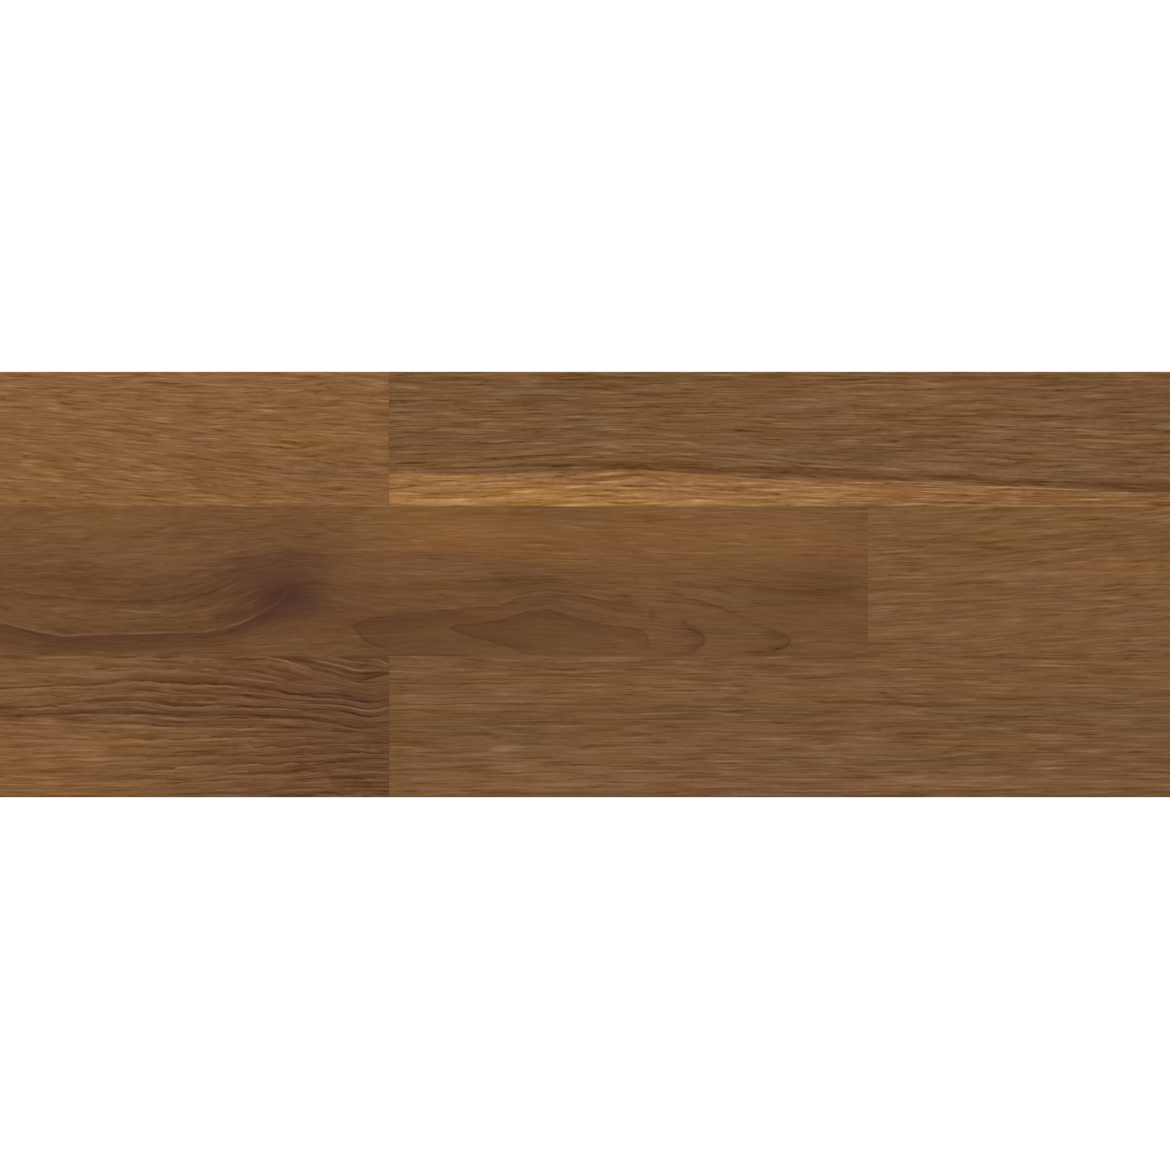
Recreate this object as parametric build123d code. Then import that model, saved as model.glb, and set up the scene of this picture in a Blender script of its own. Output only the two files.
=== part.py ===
"""Three-strip parquet board, lying face up.

Three rows of fumed-oak staves are glued on a core of spruce slats that lie across the board,
and a spruce veneer closes the underside. A groove is milled into the core all round, for the
loose tongues that join the board to its neighbours.

Frame: origin under the centre of the face, on the plane that the board lies on. +X runs along
the board, +Y across it from the front row to the back row, +Z up through the face.
Lengths are in millimetres.
"""

import os

from build123d import *

# Face and layers
FACE_LENGTH = 2200.0
FACE_WIDTH = 207.0
STAVE_THICKNESS = 3.0
CORE_THICKNESS = 9.0
BACKING_THICKNESS = 2.0
FACE_EDGE_BEVEL = 0.4

# Stave layout: butt joints a stave length apart, centred on the board, so that the outer rows have
# one at mid-length and the middle row is half a stave along; the end staves are cut to what is left
STAVE_LENGTH = 465.0
OUTER_ROW_JOINTS = 5
MIDDLE_ROW_JOINTS = 4
BACK_ROW_WIDTH = 65.6
MIDDLE_ROW_WIDTH = 72.9

# Core slats, sawn to one width and laid with an open gap between neighbours
SLAT_PITCH = 27.5
SLAT_GAP = 1.0

# Loose tongue that the groove takes, with its clearances; half of its width goes into each board
TONGUE_THICKNESS = 4.0
TONGUE_WIDTH = 10.0
TONGUE_FACE_CLEARANCE = 0.1
TONGUE_EDGE_CLEARANCE = 0.5

# Groove edges: the upper lip's height with the face, the lead-in at the mouth, and the setback of
# the edges below the groove, so that the faces of two boards close first
UPPER_LIP_HEIGHT = 5.4
GROOVE_MOUTH_CHAMFER = 0.4
LOWER_EDGE_SETBACK = 0.3

# Heights of the layer planes, and the groove worked out from its tongue
BACKING_TOP = BACKING_THICKNESS
CORE_TOP = BACKING_TOP + CORE_THICKNESS
FACE_TOP = CORE_TOP + STAVE_THICKNESS
GROOVE_HEIGHT = TONGUE_THICKNESS + 2 * TONGUE_FACE_CLEARANCE
GROOVE_DEPTH = TONGUE_WIDTH / 2 + TONGUE_EDGE_CLEARANCE
GROOVE_MIDDLE = FACE_TOP - UPPER_LIP_HEIGHT - GROOVE_HEIGHT / 2

# Cutters run this far past the material that they cut
CUTTER_OVERRUN = 2.0

PARTS_FOLDER = "parts"


def block(x_span, y_span, z_span):
    """A box between two limits along each axis."""
    (x0, x1), (y0, y1), (z0, z1) = x_span, y_span, z_span
    corner = (Align.MIN, Align.MIN, Align.MIN)
    return Pos(x0, y0, z0) * Box(x1 - x0, y1 - y0, z1 - z0, align=corner)


def centred(size, inset=0.0):
    """The span of a size centred on zero, each end moved in by an inset."""
    return (-size / 2 + inset, size / 2 - inset)


def row_spans():
    """The three rows across the face, from the back edge to the front edge."""
    low, high = centred(FACE_WIDTH)
    middle_high = high - BACK_ROW_WIDTH
    middle_low = middle_high - MIDDLE_ROW_WIDTH
    return {
        "back_row": (middle_high, high),
        "middle_row": (middle_low, middle_high),
        "front_row": (low, middle_low),
    }


def stave_spans(joint_count):
    """Stave after stave along the board, with centred butt joints a stave length apart."""
    low, high = centred(FACE_LENGTH)
    first_joint, _ = centred((joint_count - 1) * STAVE_LENGTH)
    joints = [first_joint + step * STAVE_LENGTH for step in range(joint_count)]
    ends = [low, *(x for x in joints if low < x < high), high]
    return list(zip(ends[:-1], ends[1:]))


def make_staves():
    """The face: one plate with its rim bevelled, sawn into the staves of each row."""
    layer = (CORE_TOP, FACE_TOP)
    plate = block(centred(FACE_LENGTH), centred(FACE_WIDTH), layer)
    plate = chamfer(plate.faces().sort_by(Axis.Z)[-1].edges(), FACE_EDGE_BEVEL)
    joint_counts = {
        "back_row": OUTER_ROW_JOINTS,
        "middle_row": MIDDLE_ROW_JOINTS,
        "front_row": OUTER_ROW_JOINTS,
    }
    staves = {}
    for row, y_span in row_spans().items():
        for number, x_span in enumerate(stave_spans(joint_counts[row]), start=1):
            staves[f"{row}_stave_{number}"] = plate & block(x_span, y_span, layer)
    return staves


def make_groove_cutter(edge, run):
    """The cutter of one groove: its flared section on the XZ plane, carried along an edge at +X."""
    half = GROOVE_HEIGHT / 2
    flare = half + GROOVE_MOUTH_CHAMFER
    lower_side = [
        (edge - GROOVE_DEPTH, -half),
        (edge - GROOVE_MOUTH_CHAMFER, -half),
        (edge, -flare),
        (edge + CUTTER_OVERRUN, -flare),
    ]
    upper_side = [(x, -z) for x, z in reversed(lower_side)]
    section = Plane.XZ * make_face(Polyline(*lower_side, *upper_side, close=True))
    cutter = extrude(section, run / 2 + CUTTER_OVERRUN, both=True)
    return Pos(0, 0, GROOVE_MIDDLE) * cutter


def make_groove_cutters():
    """The grooves of both ends and both long edges, a quarter turn apart."""
    end = make_groove_cutter(FACE_LENGTH / 2, FACE_WIDTH)
    side = make_groove_cutter(FACE_WIDTH / 2, FACE_LENGTH)
    return [end, Rot(0, 0, 90) * side, Rot(0, 0, 180) * end, Rot(0, 0, 270) * side]


def make_gap_cutters():
    """The open gaps between the core slats, evenly spaced so that every slat is the same width."""
    count = max(1, round((FACE_LENGTH + SLAT_GAP) / SLAT_PITCH))
    pitch = (FACE_LENGTH + SLAT_GAP) / count
    across = centred(FACE_WIDTH, -CUTTER_OVERRUN)
    layer = (BACKING_TOP - CUTTER_OVERRUN, CORE_TOP + CUTTER_OVERRUN)
    first = -FACE_LENGTH / 2 + pitch - SLAT_GAP
    starts = [first + step * pitch for step in range(count - 1)]
    return [block((x, x + SLAT_GAP), across, layer) for x in starts]


def make_core():
    """The core layer with its edges set back and its grooves milled, parted into slats."""
    upper = block(centred(FACE_LENGTH), centred(FACE_WIDTH), (GROOVE_MIDDLE, CORE_TOP))
    lower = block(
        centred(FACE_LENGTH, LOWER_EDGE_SETBACK),
        centred(FACE_WIDTH, LOWER_EDGE_SETBACK),
        (BACKING_TOP, GROOVE_MIDDLE),
    )
    layer = upper + lower
    layer -= make_groove_cutters()
    return layer - make_gap_cutters()


def make_backing():
    """The veneer under the core, set back with the lower edges."""
    return block(
        centred(FACE_LENGTH, LOWER_EDGE_SETBACK),
        centred(FACE_WIDTH, LOWER_EDGE_SETBACK),
        (0.0, BACKING_TOP),
    )


def make_board():
    """Every node of the board by name."""
    return {
        **make_staves(),
        "core_slats": make_core(),
        "backing_veneer": make_backing(),
    }


def main():
    """Writes one STEP file for each node."""
    os.makedirs(PARTS_FOLDER, exist_ok=True)
    for name, shape in make_board().items():
        export_step(shape, os.path.join(PARTS_FOLDER, f"{name}.step"))


main()
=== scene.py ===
"""Looks of a three-strip parquet board: fumed-oak staves on a spruce core with a spruce backing.

Each stave is a closed surface whose top carries the brushed grain as relief. The figure of the
wood, such as a knot, a flat-sawn oval or a stripe of sapwood, is worked out on the surface as tone
levels, and the oak finish adds fibres, dashes, veins and flecks that follow the same grain.

Sizes in the classes are millimetres, in the frame of the CAD model, with X along the board and Y
across it. Tone levels are red levels of the finished wood, from 0 to 255.
"""

import logging
from dataclasses import dataclass
from enum import Enum

import bpy
import numpy as np
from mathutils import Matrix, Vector


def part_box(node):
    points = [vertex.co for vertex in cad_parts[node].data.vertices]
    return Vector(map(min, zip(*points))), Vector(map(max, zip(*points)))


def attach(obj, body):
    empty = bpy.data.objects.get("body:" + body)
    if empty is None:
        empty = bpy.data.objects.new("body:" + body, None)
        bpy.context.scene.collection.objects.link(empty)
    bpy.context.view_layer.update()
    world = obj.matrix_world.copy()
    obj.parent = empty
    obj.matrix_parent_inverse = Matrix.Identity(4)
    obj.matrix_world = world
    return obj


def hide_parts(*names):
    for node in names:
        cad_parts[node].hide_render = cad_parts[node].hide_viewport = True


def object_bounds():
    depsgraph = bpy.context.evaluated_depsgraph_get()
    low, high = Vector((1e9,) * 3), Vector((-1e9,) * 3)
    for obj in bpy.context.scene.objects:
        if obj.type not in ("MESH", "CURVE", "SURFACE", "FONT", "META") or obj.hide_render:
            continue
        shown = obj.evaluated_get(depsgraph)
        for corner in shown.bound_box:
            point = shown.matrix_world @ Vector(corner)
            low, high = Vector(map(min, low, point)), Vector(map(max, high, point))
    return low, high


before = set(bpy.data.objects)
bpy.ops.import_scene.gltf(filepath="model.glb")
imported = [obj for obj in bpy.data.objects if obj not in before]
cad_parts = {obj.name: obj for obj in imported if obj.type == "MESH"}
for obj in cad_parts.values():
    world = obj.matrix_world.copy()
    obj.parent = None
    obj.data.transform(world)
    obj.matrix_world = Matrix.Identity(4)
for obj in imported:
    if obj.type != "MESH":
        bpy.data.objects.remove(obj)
CAD_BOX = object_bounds()

LOG = logging.getLogger("parquet_board")
BODY = "root"
MM = 0.001
FULL_LEVEL = 255.0
DISPLAY_OFFSET = 0.055
DISPLAY_POWER = 2.4

Socket = bpy.types.NodeSocket
Place = tuple[Socket, Socket, Socket]
Colour = tuple[float, float, float, float]
Points = tuple[tuple[float, float], ...]


def linear_colour(red: float, green: float, blue: float) -> Colour:
    """Turns display levels, none of them close to black, into linear light.

    With c a level over 255, the light is ((c + 0.055) / 1.055) to the power 2.4.

    Args:
        red: Red level.
        green: Green level.
        blue: Blue level.

    Returns:
        The linear colour with full alpha.
    """
    display = np.array([red, green, blue]) / FULL_LEVEL
    linear = ((display + DISPLAY_OFFSET) / (1.0 + DISPLAY_OFFSET)) ** DISPLAY_POWER
    return (*linear.tolist(), 1.0)


def smooth_step(values: np.ndarray, low: float, high: float) -> np.ndarray:
    """The S-curve 3t^2 - 2t^3 that rises from 0 at low to 1 at high."""
    share = np.clip((values - low) / (high - low), 0.0, 1.0)
    return share * share * (3.0 - 2.0 * share)


def lattice_noise(u: np.ndarray, v: np.ndarray, seed: int) -> np.ndarray:
    """Smooth noise: random values on a unit lattice, blended by an S-curve between lattice points.

    Args:
        u: First coordinate, in lattice cells.
        v: Second coordinate, in lattice cells.
        seed: Seed of the lattice.

    Returns:
        Values between -1 and 1, of the shape of u.
    """
    column = np.floor(u).astype(int)
    row = np.floor(v).astype(int)
    across = smooth_step(u - column, 0.0, 1.0)
    up = smooth_step(v - row, 0.0, 1.0)
    column = column - column.min()
    row = row - row.min()
    lattice = np.random.default_rng(seed).uniform(-1.0, 1.0, (column.max() + 2, row.max() + 2))
    lower = lattice[column, row] * (1.0 - across) + lattice[column + 1, row] * across
    upper = lattice[column, row + 1] * (1.0 - across) + lattice[column + 1, row + 1] * across
    return lower * (1.0 - up) + upper * up


@dataclass(frozen=True)
class Unevenness:
    """Something about a stave that changes smoothly over it, drawn from noise.

    Attributes:
        size: How far it changes either way.
        length: Length of a noise cell along the board.
        width: Width of a noise cell across it.
        draw: Number that sets its draw apart from the others of the stave.
    """

    size: float
    length: float
    width: float
    draw: int

    def over(self, x: np.ndarray, y: np.ndarray, seed: int) -> np.ndarray:
        """The size times smooth noise in cells of this length and width."""
        return self.size * lattice_noise(x / self.length, y / self.width, seed + self.draw)


@dataclass(frozen=True)
class GrainCurve:
    """A smooth curve on the face that the grain runs along.

    Attributes:
        points: Points that the curve passes through, in travel order.
    """

    points: Points

    STEPS = 6

    def path(self) -> np.ndarray:
        """Samples the smooth curve through the points.

        Each span is a Catmull-Rom cubic: 0.5 (2p1 + (p2 - p0)t + (2p0 - 5p1 + 4p2 - p3)t^2
        + (3p1 - p0 - 3p2 + p3)t^3), with the end points repeated.

        Returns:
            Samples as rows of x and y.
        """
        spine = np.array([self.points[0], *self.points, self.points[-1]])
        p0, p1, p2, p3 = (spine[k : len(spine) - 3 + k, None, :] for k in range(4))
        t = (np.arange(self.STEPS) / self.STEPS)[None, :, None]
        linear = (p2 - p0) * t
        square = (2.0 * p0 - 5.0 * p1 + 4.0 * p2 - p3) * t**2
        cube = (3.0 * p1 - p0 - 3.0 * p2 + p3) * t**3
        curve = 0.5 * (2.0 * p1 + linear + square + cube)
        return np.vstack([curve.reshape(-1, 2), spine[-1]])

    def height_at(self, x: np.ndarray) -> np.ndarray:
        """The curve's place across the board at each place along it."""
        path = self.path()
        order = np.argsort(path[:, 0])
        return np.interp(x, path[order, 0], path[order, 1])

    def rest_height(self) -> float:
        """The mean place across the board of the curve's points."""
        return float(np.mean([point[1] for point in self.points]))


@dataclass(frozen=True)
class GrowthLine(GrainCurve):
    """A growth line on the face: a thin dark line with a darker side and a painted highlight on the other
    side.

    Attributes:
        dark: Levels that the thin line itself is darker by.
        width: Half width of the thin line.
        shade: Levels that the side to the right of travel is darker by, next to the line: partly a darker
            band of the wood, partly painted shade on the shaded wall of the line's relief.
        shade_reach: Distance over which that shade fades.
        gleam: Levels that the side to the left of travel is lighter by, next to the line: a painted
            highlight on the lit edge of the line's relief.
        gleam_reach: Distance over which that gleam fades.
        fade: Length at both ends over which the line comes and goes.
    """

    dark: float = 8.0
    width: float = 0.6
    shade: float = 0.0
    shade_reach: float = 4.0
    gleam: float = 0.0
    gleam_reach: float = 0.8
    fade: float = 12.0

    EDGE = 0.3
    REACHES = 2.5

    def nearest(
        self, x: np.ndarray, y: np.ndarray, reach: float
    ) -> tuple[np.ndarray, np.ndarray, np.ndarray]:
        """Finds the nearest place on the line, one straight step of it at a time.

        Args:
            x: Places along the board.
            y: Places across it.
            reach: Distance past which nothing is looked for.

        Returns:
            The distance, the distance signed to the left of travel, and the length travelled.
        """
        distance = np.full(x.shape, reach)
        signed = np.zeros_like(x)
        place = np.zeros_like(x)
        path = self.path()
        steps = np.diff(path, axis=0)
        lengths = np.hypot(steps[:, 0], steps[:, 1])
        travelled = np.cumsum(lengths) - lengths
        for start, step, length, run in zip(path, steps, lengths, travelled):
            middle = start + step / 2.0
            room = np.abs(step) / 2.0 + reach
            near = (np.abs(x - middle[0]) < room[0]) & (np.abs(y - middle[1]) < room[1])
            off_x = x[near] - start[0]
            off_y = y[near] - start[1]
            share = np.clip((off_x * step[0] + off_y * step[1]) / length**2, 0.0, 1.0)
            gap = np.hypot(off_x - share * step[0], off_y - share * step[1])
            closer = gap < distance[near]
            chosen = np.flatnonzero(near)[closer]
            distance.flat[chosen] = gap[closer]
            signed.flat[chosen] = ((step[0] * off_y - step[1] * off_x) / length)[closer]
            place.flat[chosen] = run + share[closer] * length
        return distance, signed, place

    def tones(self, x: np.ndarray, y: np.ndarray) -> tuple[np.ndarray, np.ndarray]:
        """Works out the line's tones from the distance to its curve.

        The thin line falls off as a bell, the shade and the gleam as bells on their own sides, and
        all of them by an S-curve towards both ends.

        Args:
            x: Places along the board.
            y: Places across it, of the same shape.

        Returns:
            Levels of the thin line with its painted highlight, and levels of the darker side, partly
            painted shade.
        """
        reach = self.REACHES * max(self.width, self.shade_reach, self.gleam_reach)
        distance, signed, place = self.nearest(x, y, reach)
        total = place.max()
        ends = smooth_step(np.minimum(place, total - place), 0.0, self.fade)
        right = smooth_step(-signed, 0.0, self.EDGE)
        left = smooth_step(signed, 0.0, self.EDGE)
        # Painted highlight on the left of travel, less the dark line itself.
        thin = self.gleam * left * np.exp(-((distance / self.gleam_reach) ** 2))
        thin -= self.dark * np.exp(-((distance / self.width) ** 2))
        # Darker side: partly the wood's own tone, partly painted shade.
        side = -self.shade * right * np.exp(-((distance / self.shade_reach) ** 2))
        return thin * ends, side * ends


@dataclass(frozen=True)
class Patch:
    """A soft patch of lighter or darker wood: a bell over a turned ellipse.

    Attributes:
        x: Middle along the board.
        y: Middle across the board.
        reach_x: Reach along the patch.
        reach_y: Reach across the patch.
        levels: Levels at the middle, negative for dark.
        turn: Turn of the patch in degrees, anticlockwise.
    """

    x: float
    y: float
    reach_x: float
    reach_y: float
    levels: float
    turn: float = 0.0

    def tone(self, x: np.ndarray, y: np.ndarray) -> np.ndarray:
        """The levels times the bell exp(-(a^2 + b^2)) of the turned and scaled offsets a and b."""
        angle = np.radians(self.turn)
        along = (x - self.x) * np.cos(angle) + (y - self.y) * np.sin(angle)
        across = (y - self.y) * np.cos(angle) - (x - self.x) * np.sin(angle)
        return self.levels * np.exp(-((along / self.reach_x) ** 2) - (across / self.reach_y) ** 2)


class Graph:
    """A material's node tree, with a short call for each kind of node that the finishes use."""

    def __init__(self, name: str) -> None:
        """Makes the material with its principled shader and nothing else.

        Args:
            name: Name of the material.
        """
        self.material = bpy.data.materials.new(name)
        self.material.use_nodes = True
        self.tree = self.material.node_tree
        self.tree.nodes.clear()
        self.shader = self.tree.nodes.new("ShaderNodeBsdfPrincipled")
        output = self.tree.nodes.new("ShaderNodeOutputMaterial")
        self.tree.links.new(self.shader.outputs["BSDF"], output.inputs["Surface"])

    def feed(self, socket: Socket, value: Socket | float | tuple) -> None:
        """Links a socket into an input, or sets a plain value on it."""
        if isinstance(value, bpy.types.NodeSocket):
            self.tree.links.new(value, socket)
        else:
            socket.default_value = value

    def operate(self, kind: str, operation: str, values: tuple) -> Socket:
        """One math node.

        Args:
            kind: Blender's name of the node.
            operation: Blender's name of the operation.
            values: Its operands.

        Returns:
            The result.
        """
        node = self.tree.nodes.new(kind)
        node.operation = operation
        for socket, value in zip(node.inputs, values):
            self.feed(socket, value)
        return node.outputs[0]

    def math(self, operation: str, *values: Socket | float) -> Socket:
        """The result of an operation on numbers."""
        return self.operate("ShaderNodeMath", operation, values)

    def vector_math(self, operation: str, *values: Socket | tuple[float, float, float]) -> Socket:
        """The result of an operation on vectors."""
        return self.operate("ShaderNodeVectorMath", operation, values)

    def scaled(self, value: Socket, scale: Socket | float, offset: Socket | float = 0.0) -> Socket:
        """The value times a scale, plus an offset."""
        return self.math("MULTIPLY_ADD", value, scale, offset)

    def total(self, *terms: Socket | float) -> Socket:
        """The sum of the terms."""
        result = terms[0]
        for term in terms[1:]:
            result = self.math("ADD", result, term)
        return result

    def attribute(self, name: str) -> Socket:
        """A number that the mesh carries under this name."""
        node = self.tree.nodes.new("ShaderNodeAttribute")
        node.attribute_name = name
        return node.outputs["Fac"]

    def vector_attribute(self, name: str) -> Place:
        """The components of a vector that the mesh carries under this name."""
        node = self.tree.nodes.new("ShaderNodeAttribute")
        node.attribute_name = name
        return self.split(node.outputs["Vector"])

    def object_place(self) -> Place:
        """The components of the place in the object's own frame."""
        return self.split(self.tree.nodes.new("ShaderNodeTexCoord").outputs["Object"])

    def split(self, vector: Socket) -> Place:
        """The three components of a vector."""
        node = self.tree.nodes.new("ShaderNodeSeparateXYZ")
        self.feed(node.inputs[0], vector)
        return node.outputs[0], node.outputs[1], node.outputs[2]

    def join(self, x: Socket | float, y: Socket | float, z: Socket | float) -> Socket:
        """A vector from three components."""
        node = self.tree.nodes.new("ShaderNodeCombineXYZ")
        for socket, value in zip(node.inputs, (x, y, z)):
            self.feed(socket, value)
        return node.outputs[0]

    def cells(self, place: Place, counts: tuple[float, float, float]) -> Socket:
        """The place in noise cells, with a count of cells in a metre for each axis."""
        return self.join(*(self.math("MULTIPLY", part, count) for part, count in zip(place, counts)))

    def noise(self, vector: Socket, detail: float = 1.0) -> Socket:
        """Cloud noise about zero.

        Args:
            vector: Place in noise cells.
            detail: Octaves past the first.

        Returns:
            The noise less its middle value, mostly within a quarter either way.
        """
        node = self.tree.nodes.new("ShaderNodeTexNoise")
        self.feed(node.inputs["Vector"], vector)
        self.feed(node.inputs["Scale"], 1.0)
        self.feed(node.inputs["Detail"], detail)
        return self.math("SUBTRACT", node.outputs["Fac"], 0.5)

    def span(self, value: Socket, low: float, high: float, smooth: bool = True) -> Socket:
        """A rise from 0 at low to 1 at high, held at its ends.

        Args:
            value: What is mapped.
            low: Start of the rise.
            high: End of the rise.
            smooth: Whether the rise is an S-curve.

        Returns:
            The share of the rise.
        """
        node = self.tree.nodes.new("ShaderNodeMapRange")
        node.interpolation_type = "SMOOTHSTEP" if smooth else "LINEAR"
        for socket, entry in zip(node.inputs, (value, low, high)):
            self.feed(socket, entry)
        return node.outputs[0]

    def vein(self, value: Socket, width: float) -> Socket:
        """A thin line where a noise value passes zero: 1 on it, falling to 0 at the width."""
        return self.math("SUBTRACT", 1.0, self.span(self.math("ABSOLUTE", value), 0.0, width))

    def ramp(self, share: Socket, stops: list[tuple[float, Colour]]) -> Socket:
        """A colour ramp.

        Args:
            share: Place on the ramp, from 0 to 1.
            stops: Place and colour of each stop.

        Returns:
            The colour.
        """
        node = self.tree.nodes.new("ShaderNodeValToRGB")
        elements = node.color_ramp.elements
        while len(elements) < len(stops):
            elements.new(0.5)
        for element, (place, colour) in zip(elements, stops):
            element.position = place
            element.color = colour
        self.feed(node.inputs[0], share)
        return node.outputs[0]

    def linear(self, display: Socket) -> Socket:
        """Display colour from 0 to 1 as linear light: ((c + 0.055) / 1.055) to the power 2.4."""
        node = self.tree.nodes.new("ShaderNodeGamma")
        scale = 1.0 / (1.0 + DISPLAY_OFFSET)
        lifted = self.vector_math("MULTIPLY_ADD", display, (scale,) * 3, (DISPLAY_OFFSET * scale,) * 3)
        self.feed(node.inputs["Color"], lifted)
        self.feed(node.inputs["Gamma"], DISPLAY_POWER)
        return node.outputs[0]

    def drift(self, colour: Socket, hue: Socket, saturation: Socket) -> Socket:
        """The colour with its hue turned about 0.5 and its saturation scaled."""
        node = self.tree.nodes.new("ShaderNodeHueSaturation")
        self.feed(node.inputs["Hue"], hue)
        self.feed(node.inputs["Saturation"], saturation)
        self.feed(node.inputs["Color"], colour)
        return node.outputs[0]

    def bump(self, height: Socket, depth: float, strength: float) -> None:
        """Wires a bump into the shader.

        Args:
            height: Height, about 0 to 1.
            depth: Depth that a height of 1 stands for, in millimetres.
            strength: How much of it shows.
        """
        node = self.tree.nodes.new("ShaderNodeBump")
        self.feed(node.inputs["Strength"], strength)
        self.feed(node.inputs["Distance"], depth * MM)
        self.feed(node.inputs["Height"], height)
        self.feed(self.shader.inputs["Normal"], node.outputs["Normal"])

    def dress(
        self, colour: Socket | Colour, roughness: Socket | float, specular: float
    ) -> bpy.types.Material:
        """Wires colour and roughness into the shader.

        Args:
            colour: Base colour.
            roughness: Roughness.
            specular: Specular level, the same all over.

        Returns:
            The finished material.
        """
        self.feed(self.shader.inputs["Base Color"], colour)
        self.feed(self.shader.inputs["Roughness"], roughness)
        self.shader.inputs["Specular IOR Level"].default_value = specular
        return self.material


@dataclass(frozen=True)
class Streak:
    """A layer of noise drawn out along the grain.

    Attributes:
        length: Length of a noise cell along the grain.
        width: Width of a noise cell across it.
        levels: Tone levels that a noise value of 1 stands for.
        detail: Octaves past the first.
        shift: Offset that sets this layer apart from the others.
    """

    length: float
    width: float
    levels: float
    detail: float = 1.0
    shift: float = 0.0

    def noise(self, graph: Graph, grain: Place) -> Socket:
        """The layer's noise.

        Args:
            graph: Material that it is made in.
            grain: Place along and across the grain in metres, and the number of the stave.

        Returns:
            Noise about zero.
        """
        along, across, number = grain
        cell = graph.join(
            graph.math("DIVIDE", along, self.length * MM),
            graph.math("DIVIDE", across, self.width * MM),
            graph.math("ADD", number, self.shift),
        )
        return graph.noise(cell, self.detail)


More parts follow.
